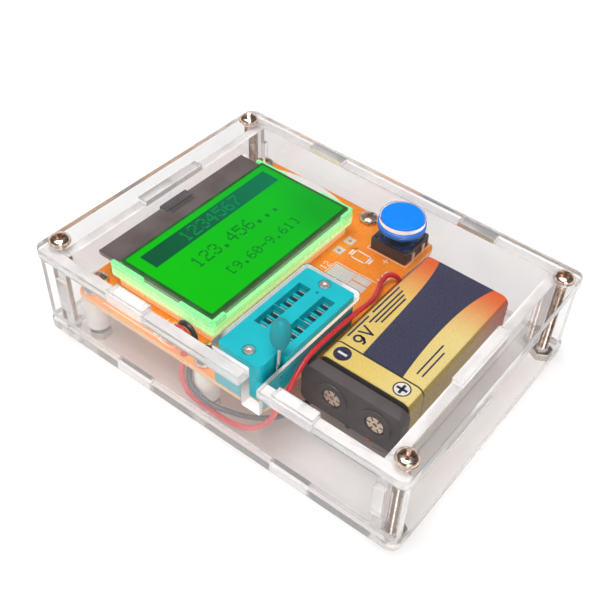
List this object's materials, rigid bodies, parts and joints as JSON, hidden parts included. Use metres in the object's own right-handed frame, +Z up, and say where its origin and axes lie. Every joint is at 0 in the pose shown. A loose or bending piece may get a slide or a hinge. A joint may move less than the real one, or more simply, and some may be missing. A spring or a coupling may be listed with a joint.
{
  "type": "component tester",
  "caption": "Electronic component tester: a clear tabbed acrylic case round a circuit board with a lit display, lever socket, push button and snap battery.",
  "frame": {"origin": "below the middle of the two plates, level with the undersides of the nuts that the case stands on", "axes": "+X to the user's right (lever socket on the left, push button on the right), +Y to the back (display end), +Z up out of the top plate"},
  "size_m": [0.085, 0.1156, 0.0416],
  "materials": {
    "clear_acrylic": "laser-cut clear acrylic, polished faces and bright sawn edges",
    "plated_steel": "bright zinc plate",
    "nut_steel": "bright zinc plate",
    "solder_mask": "orange solder mask over glass-fibre board",
    "nylon": "natural nylon",
    "solder": "bright solder",
    "tinned_pad": "flat tinned copper",
    "label_paper": "blank white label",
    "tray_plastic": "milky white plastic",
    "lit_plastic": "clear light frame, lit green from inside",
    "backlight": "light guide, lit green",
    "display_glass": "thin display glass",
    "display_face": "lit green liquid crystal face",
    "chip": "moulded black epoxy",
    "flex": "amber flexible circuit",
    "socket_plastic": "moulded turquoise plastic, fine satin",
    "contact_metal": "tinned spring metal",
    "lever_steel": "plated steel wire",
    "switch_plastic": "dark brown-grey moulding",
    "switch_plate_metal": "bright stamped sheet",
    "button_plastic": "smooth blue plastic",
    "battery_label": "gold and navy printed label",
    "cell_steel": "nickel-plated cell cans",
    "battery_end": "black end plate",
    "battery_base": "gold end plate",
    "snap_vinyl": "soft black moulded vinyl",
    "red_insulation": "red vinyl insulation",
    "black_insulation": "black vinyl insulation",
    "passive_body": "ceramic chip parts"
  },
  "bodies": {
    "case": {"top_plate": "clear_acrylic", "bottom_plate": "clear_acrylic", "left_wall": "clear_acrylic", "right_wall": "clear_acrylic", "front_wall": "clear_acrylic", "rear_wall": "clear_acrylic", "case_screws": "plated_steel", "case_nuts": "nut_steel", "circuit_board": "solder_mask", "board_spacers": "nylon", "board_screws": "plated_steel", "board_nuts": "nut_steel", "solder_joints": "solder", "test_pads": "tinned_pad", "board_label": "label_paper", "display_tray": "tray_plastic", "display_frame": "lit_plastic", "light_guide": "backlight", "lower_glass": "display_glass", "upper_glass": "display_face", "display_polariser": "display_face", "display_driver": "chip", "display_flex": "flex", "socket_base": "socket_plastic", "socket_cover": "socket_plastic", "socket_rivets": "plated_steel", "socket_contacts": "contact_metal", "switch_body": "switch_plastic", "switch_plate": "switch_plate_metal", "switch_terminals": "contact_metal", "switch_dome": "contact_metal", "battery_case": "battery_label", "battery_cells": "cell_steel", "battery_top": "battery_end", "battery_bottom": "battery_base", "positive_terminal": "contact_metal", "negative_terminal": "contact_metal", "snap_cover": "snap_vinyl", "snap_contacts": "contact_metal", "snap_rivets": "plated_steel", "red_lead": "red_insulation", "black_lead": "black_insulation", "microcontroller": "chip", "microcontroller_leads": "contact_metal", "crystal": "contact_metal", "voltage_regulator": "chip", "transistors": "chip", "resistors": "chip", "capacitors": "passive_body"},
    "lever": {"lever_rod": "lever_steel", "lever_cam": "lever_steel", "lever_knob": "socket_plastic"},
    "slider": {"socket_slider": "socket_plastic"},
    "button": {"button_cap": "button_plastic", "switch_plunger": "switch_plastic"}
  },
  "joints": [
    {"name": "lever_pivot", "type": "hinge", "parent": "case", "child": "lever", "pos_m": [-0.0318, -0.01385, 0.0228], "axis": [0, -1, 0], "range_deg": [0, 94]},
    {"name": "slider_slide", "type": "slide", "parent": "case", "child": "slider", "axis": [1, 0, 0], "range_m": [0, 0.0008]},
    {"name": "button_press", "type": "slide", "parent": "case", "child": "button", "axis": [0, 0, -1], "range_m": [0, 0.00035], "stiffness_N_per_m": 2000, "springref_m": -0.0005}
  ],
  "couplings": [
    {"joint": "lever_pivot", "follows": "slider_slide", "rad_per_m": 2050.5}
  ]
}
